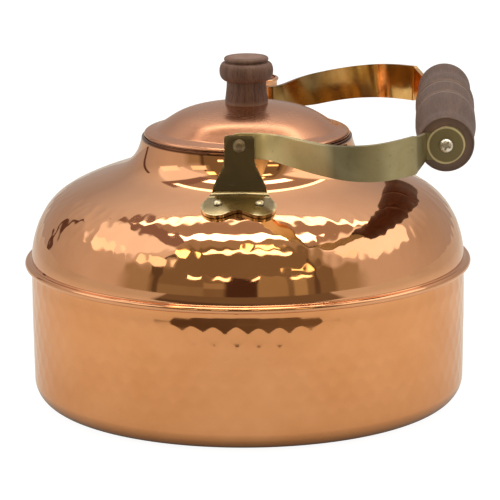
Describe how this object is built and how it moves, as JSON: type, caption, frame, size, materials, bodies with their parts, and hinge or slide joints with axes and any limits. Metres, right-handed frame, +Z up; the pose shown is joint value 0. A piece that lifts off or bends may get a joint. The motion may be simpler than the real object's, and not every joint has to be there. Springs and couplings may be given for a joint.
{
  "type": "kettle",
  "caption": "Squat copper kettle: flanged pan and hammered dome joined by a folded seam, curved spout, lift-off lid with a wooden knob, and a fold-over strap handle with a turned wooden grip.",
  "frame": {"origin": "centre of the flat base, on the table", "axes": "+Z up along the body's axis; +Y towards the spout; +X towards the side the handle lies folded over"},
  "size_m": [0.1977, 0.2225, 0.1523],
  "materials": {
    "copper": "polished copper sheet, hammered on the pan wall and the dome's shoulder",
    "brass": "polished brass strip with a faint rolled grain",
    "plated_steel": "bright plated steel",
    "wood": "dark turned hardwood, thin satin lacquer"
  },
  "bodies": {
    "kettle": {"body_pan": "copper", "body_dome": "copper", "spout": "copper", "front_ear": "brass", "rear_ear": "brass", "front_ear_rivet_left": "plated_steel", "front_ear_rivet_right": "plated_steel", "rear_ear_rivet_left": "plated_steel", "rear_ear_rivet_right": "plated_steel", "front_pivot_rivet": "plated_steel", "rear_pivot_rivet": "plated_steel", "front_pivot_washer": "brass", "rear_pivot_washer": "brass"},
    "handle": {"front_strap": "brass", "rear_strap": "brass", "grip": "wood", "grip_rod": "plated_steel", "front_grip_screw": "plated_steel", "rear_grip_screw": "plated_steel"},
    "lid": {"lid": "copper", "lid_collar": "copper", "lid_knob": "wood", "knob_washer": "brass", "knob_screw": "plated_steel"}
  },
  "joints": [
    {"name": "handle_swing", "type": "hinge", "parent": "kettle", "child": "handle", "pos_m": [0, 0, 0.124], "axis": [0, -1, 0], "range_deg": [-10, 190]},
    {"name": "lid_lift", "type": "slide", "parent": "kettle", "child": "lid", "axis": [0, 0, 1], "range_m": [0, 0.045]}
  ]
}
